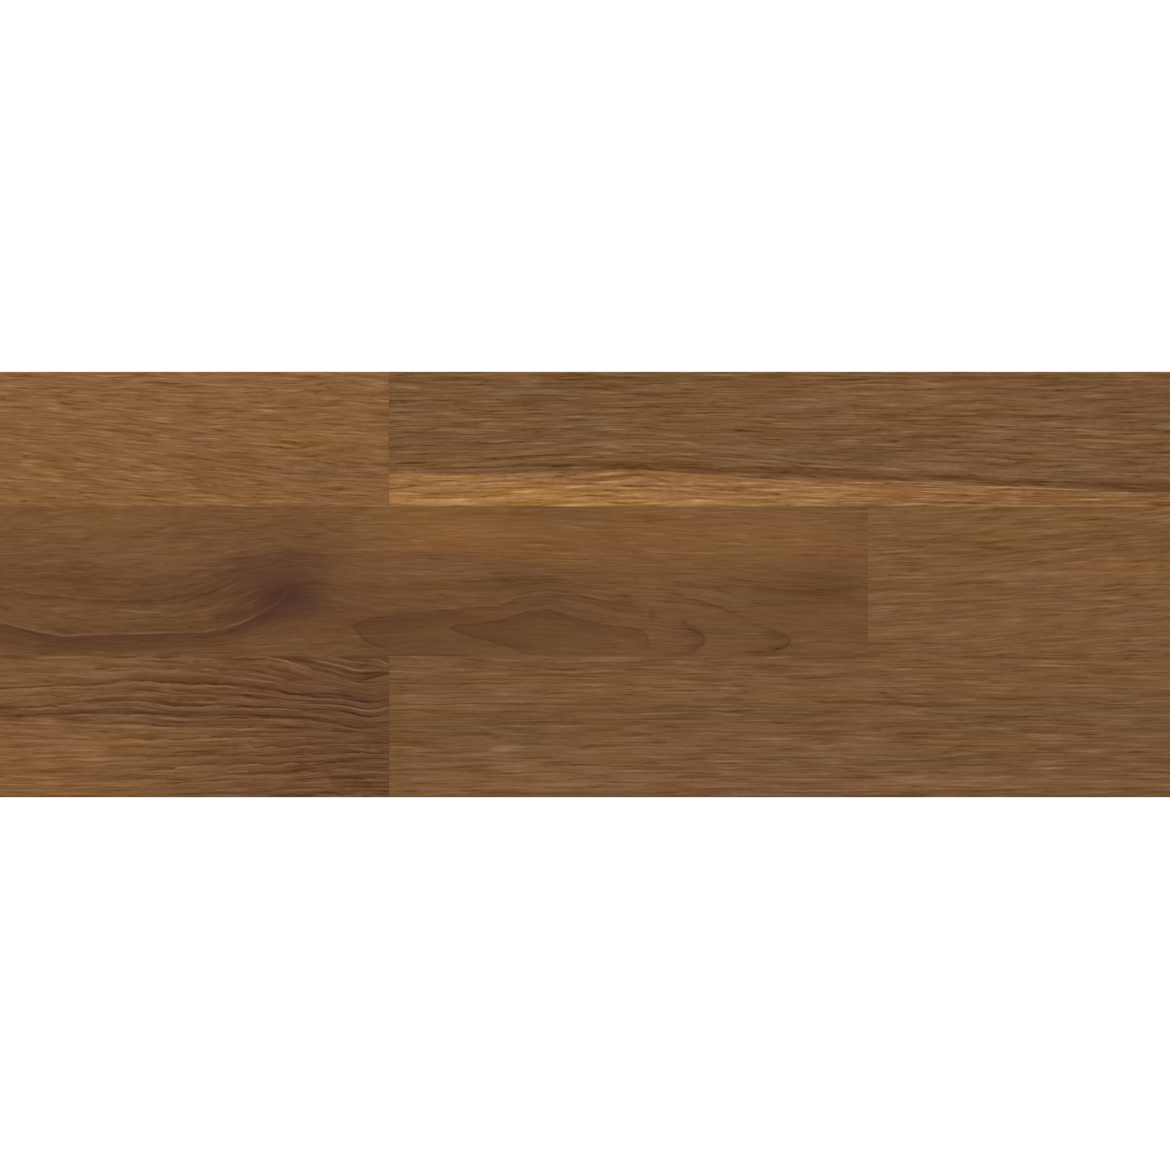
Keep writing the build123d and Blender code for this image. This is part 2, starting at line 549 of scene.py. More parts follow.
@dataclass(frozen=True)
class OakFinish:
    """Fumed oak, brushed and oiled matt: a ramp of browns that the tone level walks along.

    Attributes:
        slot: Material slot of the record.
        level: Mean tone level of a stave of this finish.
        cast: Levels of green and blue that set this oak apart from the ramp.
    """

    slot: str
    level: float
    cast: tuple[float, float]

    BANDS = Streak(length=200.0, width=9.0, levels=20.0)
    GROWTH = Streak(length=60.0, width=2.6, levels=17.0, shift=7.3)
    FIBRES = Streak(length=17.0, width=1.05, levels=41.0, detail=0.9, shift=14.7)
    DASHES = Streak(length=3.6, width=1.1, levels=14.0, detail=1.0, shift=65.3)
    VEINS = Streak(length=30.0, width=2.0, levels=16.0, shift=22.1)
    FLECKS = Streak(length=13.0, width=0.9, levels=14.0, detail=0.5, shift=31.9)
    WAVER = Streak(length=11.0, width=2.2, levels=1.2, detail=2.0, shift=57.7)
    RING_WAVER = 0.5
    VEIN_WIDTH = 0.05
    VEIN_BREAK = (0.04, -0.08)
    FLECK_EDGE = (0.09, 0.24)
    HUE_BLOTCH = Streak(length=50.0, width=14.0, levels=0.008, detail=0.0, shift=40.3)
    PALE_BLOTCH = Streak(length=40.0, width=10.0, levels=0.08, detail=0.0, shift=48.9)
    BROWNS = (
        (60, 38, 30),
        (87, 57, 41),
        (104, 71, 45),
        (119, 84, 53),
        (133, 94, 58),
        (155, 109, 63),
        (182, 133, 79),
        (204, 160, 102),
    )
    FACE_LIGHT = 0.911
    FACE_GLOSS = 0.0093
    SPECULAR = 0.18
    ROUGHNESS = 0.52
    FIBRE_GLOSS = 0.3
    FIBRE_DEPTH = 0.12
    LATE_WOOD_SHARPNESS = 3.6
    EARLY_WOOD_GLEAM = 0.85

    def stops(self) -> list[tuple[float, Colour]]:
        """The ramp's stops in display light, each brown at the place of its red level."""
        darkest, lightest = self.BROWNS[0][0], self.BROWNS[-1][0]
        green_cast, blue_cast = self.cast
        return [
            (
                (red - darkest) / (lightest - darkest),
                (red / FULL_LEVEL, (green + green_cast) / FULL_LEVEL, (blue + blue_cast) / FULL_LEVEL, 1.0),
            )
            for red, green, blue in self.BROWNS
        ]

    def ring_tone(self, graph: Graph, waver: Socket) -> Socket:
        """Levels of the growth rings: dark at the end of each ring, light at the start of the next,
        partly as pale early wood and partly as a painted highlight that makes the ring look raised.

        With f the fraction of the wavering ring number, the tone is the ring depth times
        gleam (1 - f)^n - f^n, n being the sharpness.

        Args:
            graph: Material that it is made in.
            waver: Noise that the rings waver by.

        Returns:
            The levels.
        """
        share = graph.math("FRACT", graph.scaled(waver, self.RING_WAVER, graph.attribute("ring")))
        late = graph.math("POWER", share, self.LATE_WOOD_SHARPNESS)
        early = graph.math("POWER", graph.math("SUBTRACT", 1.0, share), self.LATE_WOOD_SHARPNESS)
        # The light early-wood rise is partly a painted highlight beside each dark ring line.
        wave = graph.math("SUBTRACT", graph.scaled(early, self.EARLY_WOOD_GLEAM), late)
        return graph.math("MULTIPLY", wave, graph.attribute("ring_depth"))

    def surface_colour(self, graph: Graph, browns: Socket, greys: Socket, gold: Socket) -> Socket:
        """The colour that shows as the browns with grey levels added, under the studio's light.

        Args:
            graph: Material that it is made in.
            browns: Levels that walk along the ramp of browns.
            greys: Levels added to red, green and blue alike, as fine strokes in oak are, and as the painted
                highlights beside lines are.
            gold: Levels taken off the blue, where the wood is more golden than its brown.

        Returns:
            The linear colour, less the gloss on the face and over the light on it.
        """
        place = graph.span(browns, self.BROWNS[0][0], self.BROWNS[-1][0], smooth=False)
        grey = graph.math("DIVIDE", greys, FULL_LEVEL)
        blue = graph.scaled(gold, -1.0 / FULL_LEVEL, grey)
        strokes = graph.join(grey, grey, blue)
        shown = graph.linear(graph.vector_math("ADD", graph.ramp(place, self.stops()), strokes))
        scale = 1.0 / self.FACE_LIGHT
        colour = graph.vector_math("MULTIPLY_ADD", shown, (scale,) * 3, (-self.FACE_GLOSS * scale,) * 3)
        return graph.vector_math("MAXIMUM", colour, (0.0, 0.0, 0.0))

    def material(self) -> bpy.types.Material:
        """Makes the material.

        Bands and growth streaks walk along the browns with the mesh's own level. Fibres, dashes,
        veins, flecks, rings and the mesh's thin lines with their painted highlights are grey levels on
        top. A small waver across the grain keeps the strokes and the rings from running too smoothly.

        Returns:
            The material.
        """
        graph = Graph(self.slot)
        along, across, number = graph.vector_attribute("grain")
        place_along = graph.object_place()[0]
        waver = self.WAVER.noise(graph, (place_along, across, number))
        grain = (along, graph.scaled(waver, self.WAVER.levels * MM, across), number)
        fibres = self.FIBRES.noise(graph, grain)
        dashes = self.DASHES.noise(graph, (place_along, across, number))
        sheen = self.FLECKS.noise(graph, grain)
        flecks = graph.span(sheen, *self.FLECK_EDGE)
        veins = graph.vein(self.VEINS.noise(graph, grain), self.VEIN_WIDTH)
        veins = graph.math("MULTIPLY", veins, graph.span(sheen, *self.VEIN_BREAK))
        strokes = graph.total(
            graph.scaled(fibres, self.FIBRES.levels),
            graph.scaled(dashes, self.DASHES.levels),
            graph.scaled(veins, -self.VEINS.levels),
            graph.scaled(flecks, self.FLECKS.levels),
        )
        streaks = graph.total(
            graph.scaled(self.BANDS.noise(graph, grain), self.BANDS.levels),
            graph.scaled(self.GROWTH.noise(graph, grain), self.GROWTH.levels),
        )
        browns = graph.scaled(streaks, graph.attribute("banding"), graph.attribute("level"))
        # The mesh's thin lines carry painted highlights beside them, and the rings a light edge that is
        # partly painted highlight.
        lines = graph.total(graph.attribute("line"), self.ring_tone(graph, waver))
        greys = graph.scaled(strokes, graph.attribute("contrast"), lines)
        colour = self.surface_colour(graph, browns, greys, graph.attribute("gold"))
        hue = graph.scaled(self.HUE_BLOTCH.noise(graph, grain), self.HUE_BLOTCH.levels, 0.5)
        saturation = graph.scaled(self.PALE_BLOTCH.noise(graph, grain), self.PALE_BLOTCH.levels, 1.0)
        graph.bump(fibres, self.FIBRE_DEPTH, strength=1.0)
        roughness = graph.scaled(fibres, -self.FIBRE_GLOSS, self.ROUGHNESS)
        return graph.dress(graph.drift(colour, hue, saturation), roughness, self.SPECULAR)


class Oak(Enum):
    """The three tones of oak, as the record's slots name them."""

    BROWN = OakFinish("fumed_oak_brown", 119.5, (0.9, 0.9))
    AMBER = OakFinish("fumed_oak_amber", 133.0, (-0.3, -1.0))
    DARK = OakFinish("fumed_oak_dark", 114.0, (-0.6, -0.4))


@dataclass
class Figure:
    """The figure of the wood at each vertex of a stave.

    Attributes:
        across: Place across the grain, whose level lines the fibres follow.
        level: Tone level among the browns.
        gold: Levels that blue is lower by, where the wood is more golden.
        line: Grey levels of thin lines on top, with the painted highlights beside them.
        contrast: How strongly the fibres show.
        ring: Growth ring number.
        ring_depth: Grey levels of the dark line that ends each ring.
    """

    across: np.ndarray
    level: np.ndarray
    gold: np.ndarray
    line: np.ndarray
    contrast: np.ndarray
    ring: np.ndarray
    ring_depth: np.ndarray


@dataclass
class Stave:
    """One oak stave of the face, with plain grain.

    Attributes:
        node: CAD node that the stave stands for.
        oak: Its tone of oak.
        seed: Number that its grain is drawn from.
        along_step: Spacing of the surface grid along the board.
        across_step: Spacing of the surface grid across it.
        openness: How strongly the fibres show, 1 for open grain.
        banding: How strongly the broad streaks show, next to the fibres.
        slope: Rise of the grain along the board.
        fibre_length: Length of the fibres, 1 for a common one.
        sway: How much the grain sways, 0 for straight grain.
    """

    node: str
    oak: Oak
    seed: int
    along_step: float = 3.0
    across_step: float = 0.8
    openness: float = 0.95
    banding: float = 1.0
    slope: float = 0.0
    fibre_length: float = 1.0
    sway: float = 1.0

    RIM_BEVEL = 0.4
    SEAM_EASE = 0.12
    SEAM_DEPTH = 0.02
    SEAM_SHADE = 1.5
    RELIEF = Unevenness(size=0.025, length=24.0, width=2.2, draw=150)
    LINE_DEPTH = 0.03
    LINE_LEVELS = 14.0
    BROAD_SWAY = Unevenness(size=1.6, length=120.0, width=45.0, draw=0)
    FINE_SWAY = Unevenness(size=0.6, length=24.0, width=9.0, draw=50)
    DRIFT = Unevenness(size=2.5, length=150.0, width=18.0, draw=100)

    def __post_init__(self) -> None:
        """Takes the stave's place from its CAD node and the board's outline from the CAD box."""
        low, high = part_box(self.node)
        self.low = np.array(low) / MM
        self.high = np.array(high) / MM
        self.middle = (self.low + self.high) / 2.0
        self.board_low = np.array(CAD_BOX[0]) / MM
        self.board_high = np.array(CAD_BOX[1]) / MM

    def flow(self, x: np.ndarray, y: np.ndarray) -> np.ndarray:
        """The place across the grain: y less the grain's rise, with a broad and a fine sway.

        Args:
            x: Places along the board.
            y: Places across it.

        Returns:
            The coordinate whose level lines the fibres follow.
        """
        sway = self.BROAD_SWAY.over(x, y, self.seed) + self.FINE_SWAY.over(x, y, self.seed)
        return y + self.sway * sway - self.slope * (x - self.middle[0])

    def travel(self, x: np.ndarray) -> np.ndarray:
        """The place along the grain, in common fibre lengths."""
        return x / self.fibre_length

    def figure(self, x: np.ndarray, y: np.ndarray) -> Figure:
        """The figure of plain grain: the mean level with a slow drift over the stave.

        Args:
            x: Places of the vertices along the board.
            y: Places across it.

        Returns:
            The figure at each vertex.
        """
        return Figure(
            across=self.flow(x, y),
            level=self.oak.value.level + self.DRIFT.over(x, y, self.seed),
            gold=np.zeros_like(x),
            line=np.zeros_like(x),
            contrast=np.full_like(x, self.openness),
            ring=np.zeros_like(x),
            ring_depth=np.zeros_like(x),
        )

    def edge_drop(self, places: np.ndarray, axis: int) -> tuple[np.ndarray, np.ndarray]:
        """How far the top drops towards the stave's two edges along an axis.

        Args:
            places: Places along the axis.
            axis: 0 along the board, 1 across it.

        Returns:
            The bevel's drop where an edge is the board's rim, and the eased seam's drop elsewhere.
        """
        bevel = np.zeros_like(places)
        ease = np.zeros_like(places)
        edges = (
            (places - self.low[axis], self.low[axis] - self.board_low[axis]),
            (self.high[axis] - places, self.board_high[axis] - self.high[axis]),
        )
        for gap, to_rim in edges:
            if to_rim < self.SEAM_EASE:
                bevel = np.maximum(bevel, self.RIM_BEVEL - gap)
            else:
                ease = np.maximum(ease, self.SEAM_DEPTH * (1.0 - gap / self.SEAM_EASE))
        return bevel, ease

    def places(self, axis: int, step: float) -> np.ndarray:
        """Grid places along an axis: even ones, and extra ones where an edge is eased or bevelled.

        Args:
            axis: 0 along the board, 1 across it.
            step: Spacing of the even ones.

        Returns:
            The places in order.
        """
        low, high = self.low[axis], self.high[axis]
        near = np.array([0.0, self.SEAM_EASE, self.RIM_BEVEL])
        count = int(np.ceil((high - low) / step))
        inner = np.linspace(low + self.RIM_BEVEL, high - self.RIM_BEVEL, count)[1:-1]
        return np.concatenate([low + near, inner, high - near[::-1]])

    def grid(self) -> tuple[np.ndarray, np.ndarray]:
        """Lays out the closed skin seen from above.

        At each place along the board a section runs from the lower front corner up the side, across
        the top and down to the lower back corner, so the first and last place across come twice.

        Returns:
            X and Y, each of shape (places along the board, places round a section).
        """
        along = self.places(0, self.along_step)
        across = self.places(1, self.across_step)
        return np.meshgrid(along, np.pad(across, 1, mode="edge"), indexing="ij")

    def heights(self, x: np.ndarray, y: np.ndarray, figure: Figure) -> np.ndarray:
        """Works out the height of the skin.

        The top's height is the face less the rim's bevel or the seam's easing, less the brushed
        relief: noise along the grain, cut deeper at dark lines. The corners below stand on the core.

        Args:
            x: Places of the vertices along the board.
            y: Places across it.
            figure: The figure of the wood there.

        Returns:
            The heights.
        """
        bevel_x, ease_x = self.edge_drop(x, 0)
        bevel_y, ease_y = self.edge_drop(y, 1)
        bevel = np.maximum(bevel_x, bevel_y)
        ease = np.maximum(ease_x, ease_y)
        brushed = self.RELIEF.size - self.RELIEF.over(x, figure.across, self.seed)
        brushed += self.LINE_DEPTH * np.clip(-figure.line / self.LINE_LEVELS, 0.0, 1.0)
        z = self.high[2] - np.where(bevel > 0.0, bevel, ease + brushed)
        z[:, [0, -1]] = self.low[2]
        return z

    def build(self) -> bpy.types.Object:
        """Makes the mesh of the closed skin and writes the figure of the wood onto it.

        Returns:
            The stave's object.
        """
        x, y = self.grid()
        figure = self.figure(x, y)
        z = self.heights(x, y, figure)
        stations, section = x.shape
        index = np.arange(x.size, dtype=np.int32).reshape(stations, section)
        after = np.roll(index, -1, axis=1)
        quads = np.stack([index[:-1], index[1:], after[1:], after[:-1]], axis=-1).reshape(-1, 4)
        corners = np.concatenate([quads.ravel(), index[0], index[-1][::-1]])
        starts = np.append(np.arange(len(quads) + 1) * 4, len(quads) * 4 + section).astype(np.int32)
        # Round a section, the side and the eased edge come first, and the eased edge, the side and the
        # underside come last. Only the brushed top between them is smooth.
        column = np.tile(np.arange(section), stations - 1)
        brushed = (column > 1) & (column < section - 3)
        mesh = bpy.data.meshes.new(f"{self.node}_oak")
        mesh.vertices.add(x.size)
        mesh.loops.add(len(corners))
        mesh.polygons.add(len(starts))
        mesh.vertices.foreach_set("co", np.stack([x, y, z], axis=-1).ravel() * MM)
        mesh.loops.foreach_set("vertex_index", corners)
        mesh.polygons.foreach_set("loop_start", starts)
        mesh.polygons.foreach_set("use_smooth", np.append(brushed, [False, False]))
        mesh.update(calc_edges=True)
        mesh.validate()
        self.write_figure(mesh, x, y, z, figure)
        piece = bpy.data.objects.new(f"{self.node}_oak", mesh)
        bpy.context.scene.collection.objects.link(piece)
        return piece

    def write_figure(
        self, mesh: bpy.types.Mesh, x: np.ndarray, y: np.ndarray, z: np.ndarray, figure: Figure
    ) -> None:
        """Writes the attributes that the oak finish reads.

        Args:
            mesh: The stave's mesh.
            x: Places of its vertices along the board.
            y: Places across it.
            z: Heights.
            figure: The figure of the wood at the vertices.
        """
        across = figure.across + (self.high[2] - z)
        number = np.full_like(x, self.seed)
        grain = np.stack([self.travel(x) * MM, across * MM, number], axis=-1)
        gap_x = np.minimum(x - self.low[0], self.high[0] - x)
        gap_y = np.minimum(y - self.low[1], self.high[1] - y)
        seam = self.SEAM_SHADE * np.exp(-np.minimum(gap_x, gap_y) / self.RIM_BEVEL)
        numbers = {
            "level": figure.level - seam,
            "gold": figure.gold,
            "line": figure.line,
            "contrast": figure.contrast,
            "banding": figure.contrast * self.banding,
            "ring": figure.ring,
            "ring_depth": figure.ring_depth,
        }
        mesh.attributes.new("grain", "FLOAT_VECTOR", "POINT").data.foreach_set("vector", grain.ravel())
        for name, values in numbers.items():
            mesh.attributes.new(name, "FLOAT", "POINT").data.foreach_set("value", values.ravel())

    def dress(self, piece: bpy.types.Object, material: bpy.types.Material) -> None:
        """Gives the piece its finish, attaches it to the body and hides the CAD node that it stands for."""
        piece.data.materials.append(material)
        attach(piece, BODY)
        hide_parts(self.node)


@dataclass
class FiguredStave(Stave):
    """A stave whose figure is drawn: growth lines, soft patches, and fibres that follow guides.

    Attributes:
        lines: Its growth lines.
        patches: Its lighter and darker patches.
        golden: Its more golden patches, in levels of blue, negative for greyer ones.
        calm: Places where the fibres hardly show, with how far they fade as negative levels.
        guides: Curves that the fibres follow, from the front edge to the back edge.
        long_from: Place along the board from which the fibres are longer, if there is one.
        long_fibres: Length of the fibres past that place.
    """

    lines: tuple[GrowthLine, ...] = ()
    patches: tuple[Patch, ...] = ()
    golden: tuple[Patch, ...] = ()
    calm: tuple[Patch, ...] = ()
    guides: tuple[GrainCurve, ...] = ()
    long_from: float | None = None
    long_fibres: float = 1.0

    DRIFT = Unevenness(size=1.2, length=150.0, width=18.0, draw=100)
    LEAST_GAP = 0.5
    LEAST_CONTRAST = 0.12
    WOBBLE = Unevenness(size=0.35, length=7.0, width=3.5, draw=400)
    FINE_WOBBLE = Unevenness(size=0.21, length=2.6, width=2.0, draw=420)
    LINE_STRENGTH = 0.85
    LINE_FADING = Unevenness(size=0.4, length=16.0, width=6.0, draw=450)

    def travel(self, x: np.ndarray) -> np.ndarray:
        """The place along the grain, counted in longer fibres past the place where they start."""
        if self.long_from is None:
            return super().travel(x)
        past = self.long_from / self.fibre_length + (x - self.long_from) / self.long_fibres
        return np.minimum(super().travel(x), past)

    def between_guides(self, x: np.ndarray, y: np.ndarray, values: list[np.ndarray | float]) -> np.ndarray:
        """Carries a value from guide to guide.

        On each guide it is that guide's value. Between two guides it goes over from one to the other
        in a straight line, and past the outer ones it stays.

        Args:
            x: Places along the board.
            y: Places across it.
            values: The value of each guide, from the front edge to the back edge.

        Returns:
            The value at each place.
        """
        heights = [guide.height_at(x) for guide in self.guides]
        carried = np.zeros_like(x) + values[0]
        for low, high, first, last in zip(heights[:-1], heights[1:], values[:-1], values[1:]):
            room = np.maximum(high - low, self.LEAST_GAP)
            carried += np.clip((y - low) / room, 0.0, 1.0) * (last - first)
        return carried

    def flow(self, x: np.ndarray, y: np.ndarray) -> np.ndarray:
        """The place across the grain, moved by the rise of each guide about its rest height."""
        plain = super().flow(x, y)
        if not self.guides:
            return plain
        rises = [guide.height_at(x) - guide.rest_height() for guide in self.guides]
        return plain - self.between_guides(x, y, rises)

    def figure(self, x: np.ndarray, y: np.ndarray) -> Figure:
        """The plain figure plus every line and patch; the lines wobble and come and go a little.

        Args:
            x: Places of the vertices along the board.
            y: Places across it.

        Returns:
            The figure at each vertex.
        """
        figure = super().figure(x, y)
        wobbled = y + self.WOBBLE.over(x, y, self.seed) + self.FINE_WOBBLE.over(x, y, self.seed)
        strength = self.LINE_STRENGTH + self.LINE_FADING.over(x, y, self.seed)
        # Thin lines with their painted highlights go to the grey levels. The darker sides, partly painted
        # shade, go to the browns.
        for line in self.lines:
            thin, side = line.tones(x, wobbled)
            figure.line += thin * strength
            figure.level += side
        for patch in self.patches:
            figure.level += patch.tone(x, y)
        for patch in self.golden:
            figure.gold += patch.tone(x, y)
        for place in self.calm:
            figure.contrast += place.tone(x, y)
        figure.contrast = np.maximum(figure.contrast, self.LEAST_CONTRAST)
        return figure


@dataclass
class SapwoodStave(FiguredStave):
    """A stave sawn through the edge of the heartwood, with a pale stripe of sapwood.

    Attributes:
        boundary: Line between heartwood and sapwood, with the sapwood in front of it.
        sap_levels: Levels that the sapwood is lighter by, at its first and last end.
        sap_fade: Places along the board between which it goes from one to the other.
    """

    boundary: GrainCurve = GrainCurve(((0.0, 0.0), (1.0, 0.0)))
    sap_levels: tuple[float, float] = (36.0, 18.0)
    sap_fade: tuple[float, float] = (60.0, 480.0)

    SAP_EDGE = (-0.3, 1.0)
    SAP_CONTRAST = 1.45

    def figure(self, x: np.ndarray, y: np.ndarray) -> Figure:
        """The drawn figure plus the sapwood, an S-curve over the boundary, with stronger fibres.

        Args:
            x: Places of the vertices along the board.
            y: Places across it.

        Returns:
            The figure at each vertex.
        """
        figure = super().figure(x, y)
        share = smooth_step(self.boundary.height_at(x) - y, *self.SAP_EDGE)
        first, last = self.sap_levels
        figure.level += share * (first + (last - first) * smooth_step(x, *self.sap_fade))
        figure.contrast *= 1.0 + (self.SAP_CONTRAST - 1.0) * share
        return figure


@dataclass
class RingedStave(FiguredStave):
    """A stave whose growth rings show as a family of raised waves between its guides.

    Attributes:
        ring_numbers: The ring that each guide lies on, from the front edge to the back edge.
        ring_levels: Darkness of the ring lines.
        plain: Places where the rings hardly show, with how far they fade as negative shares.
    """

    ring_numbers: tuple[float, ...] = ()
    ring_levels: float = 19.0
    plain: tuple[Patch, ...] = ()

    RIPPLE = Unevenness(size=0.12, length=8.0, width=3.0, draw=250)
    BROAD_RIPPLE = Unevenness(size=0.25, length=45.0, width=7.0, draw=260)
    RING_STRENGTH = 0.65
    RING_FADING = Unevenness(size=0.6, length=24.0, width=4.5, draw=300)

    def figure(self, x: np.ndarray, y: np.ndarray) -> Figure:
        """The drawn figure plus rings, counted towards the front edge, that ripple and come and go.

        Args:
            x: Places of the vertices along the board.
            y: Places across it.

        Returns:
            The figure at each vertex.
        """
        figure = super().figure(x, y)
        ripple = self.RIPPLE.over(x, y, self.seed) + self.BROAD_RIPPLE.over(x, y, self.seed)
        figure.ring = ripple - self.between_guides(x, y, list(self.ring_numbers))
        strength = self.RING_STRENGTH + self.RING_FADING.over(x, y, self.seed)
        figure.ring_depth = self.ring_levels * strength
        for place in self.plain:
            figure.ring_depth *= 1.0 + place.tone(x, y)
        return figure


@dataclass
class FlatSawnStave(Stave):
    """A stave sawn flat through the log, with rings that open into tall arches along it.

    Attributes:
        pith_y: Place of the arches' middle across the board.
        pith_depth: Depth of the pith below the face at mid-length.
        taper: Change of that depth along the board.
        ring_width: Width of a growth ring in the log.
        ring_levels: Darkness of the lines.
    """

    pith_y: float = 0.0
    pith_depth: float = 30.0
    taper: float = 0.12
    ring_width: float = 4.2
    ring_levels: float = 13.0

    WANDER = Unevenness(size=5.0, length=110.0, width=200.0, draw=200)
    RIPPLE = Unevenness(size=1.1, length=26.0, width=9.0, draw=250)
    RING_STRENGTH = 0.75
    RING_FADING = Unevenness(size=0.35, length=60.0, width=12.0, draw=300)

    def figure(self, x: np.ndarray, y: np.ndarray) -> Figure:
        """The plain figure plus rings that fade in patches.

        The ring number is the distance from the pith over the ring width. That distance is the root
        of the squares of the sideways offset and of the depth, which wanders along the board.

        Args:
            x: Places of the vertices along the board.
            y: Places across it.

        Returns:
            The figure at each vertex.
        """
        figure = super().figure(x, y)
        wander = self.WANDER.over(x, y, self.seed)
        depth = self.pith_depth + self.taper * (x - self.middle[0]) + wander
        distance = np.hypot(y - self.pith_y, depth) + self.RIPPLE.over(x, y, self.seed)
        figure.ring = distance / self.ring_width
        strength = self.RING_STRENGTH + self.RING_FADING.over(x, y, self.seed)
        figure.ring_depth = self.ring_levels * strength
        return figure


def open_grain_stave() -> Stave:
    """The amber stave at mid-length of the back row: dashes of grain that fall to the right."""
    return FiguredStave(
        "back_row_stave_3",
        Oak.AMBER,
        seed=3,
        along_step=1.6,
        across_step=0.5,
        openness=1.16,
        banding=0.4,
        guides=(
            GrainCurve(((-465.0, 58.0), (-189.0, 50.0), (-100.0, 44.5), (-40.0, 42.0), (0.0, 41.0))),
            GrainCurve(
                ((-465.0, 82.0), (-189.0, 70.0), (-120.0, 64.0), (-70.0, 58.0), (-35.0, 54.5), (0.0, 52.5))
            ),
            GrainCurve(((-465.0, 94.0), (-189.0, 86.0), (-100.0, 81.5), (0.0, 79.0))),
            GrainCurve(((-465.0, 103.0), (-189.0, 100.0), (0.0, 98.0))),
        ),
        lines=(
            GrowthLine(
                ((-76.0, 76.8), (-62.0, 76.0), (-50.0, 75.2)), dark=14.0, width=0.5, gleam=18.0, fade=6.0
            ),
            GrowthLine(((-112.0, 63.0), (-98.0, 61.5), (-84.0, 59.5)), dark=16.0, fade=8.0),
            # A light stroke: painted highlight only.
            GrowthLine(((-70.0, 54.5), (-50.0, 52.0), (-33.0, 49.7)), dark=0.0, gleam=12.0, fade=8.0),
            GrowthLine(((-33.0, 59.6), (-22.0, 59.0), (-10.0, 58.6)), dark=14.0, width=0.5, fade=6.0),
        ),
        patches=(
            Patch(-150.0, 62.0, 40.0, 6.0, 4.0, -5.0),
            Patch(-35.0, 57.0, 45.0, 6.0, -5.0, -3.0),
            Patch(-100.0, 101.0, 110.0, 5.0, 4.0),
            Patch(-90.0, 42.0, 60.0, 6.0, 3.0),
        ),
        golden=(Patch(-90.0, 98.0, 110.0, 9.0, -4.0),),
    )


def sapwood_stave() -> Stave:
    """The brown stave beside it, with a stripe of sapwood along its front edge."""
    dash = {"dark": 32.0, "width": 0.5, "fade": 7.0}
    heartwood_edge = (
        (0.0, 56.0), (60.0, 57.0), (110.0, 58.6), (150.0, 57.0), (200.0, 54.2), (250.0, 52.4),
        (345.0, 48.6), (465.0, 45.5),
    )
    return SapwoodStave(
        "back_row_stave_4",
        Oak.BROWN,
        seed=4,
        along_step=1.6,
        across_step=0.5,
        openness=1.3,
        fibre_length=1.5,
        sway=0.6,
        boundary=GrainCurve(
            (
                (0.0, 54.0), (45.0, 53.8), (87.0, 54.8), (112.0, 55.8), (140.0, 54.4), (165.0, 52.6),
                (200.0, 51.0), (250.0, 50.0), (310.0, 48.0), (347.0, 45.8), (465.0, 43.5),
            )
        ),
        guides=(
            GrainCurve(((0.0, 39.0), (465.0, 39.0))),
            GrainCurve(heartwood_edge),
            GrainCurve(((0.0, 92.0), (465.0, 92.0))),
        ),
        lines=(
            GrowthLine(heartwood_edge[1:], dark=16.0, width=1.5, fade=70.0),
            GrowthLine(
                ((-4.0, 58.2), (15.0, 58.5), (40.0, 59.8), (68.0, 62.2), (95.0, 63.4)), dark=21.0, gleam=8.0
            ),
            GrowthLine(
                ((-8.0, 56.0), (15.0, 56.2), (45.0, 57.0), (68.0, 57.5), (95.0, 57.4)), dark=22.0, gleam=6.0
            ),
            GrowthLine(((45.0, 59.0), (68.0, 60.2), (92.0, 60.6)), dark=15.0),
            GrowthLine(((38.0, 46.4), (57.0, 47.7)), **dash),
            GrowthLine(((14.0, 43.8), (35.0, 43.6)), **dash),
            GrowthLine(((101.0, 45.9), (114.0, 45.9)), **dash),
            GrowthLine(((127.0, 52.6), (148.0, 52.8)), **dash),
        ),
        patches=(
            Patch(110.0, 61.0, 60.0, 4.0, -7.0),
            Patch(125.0, 67.0, 105.0, 5.0, 8.0),
            Patch(130.0, 100.0, 110.0, 6.0, -7.0),
        ),
        golden=(
            Patch(230.0, 50.0, 170.0, 9.0, -3.5),
            Patch(110.0, 85.0, 80.0, 7.0, 2.5),
        ),
    )


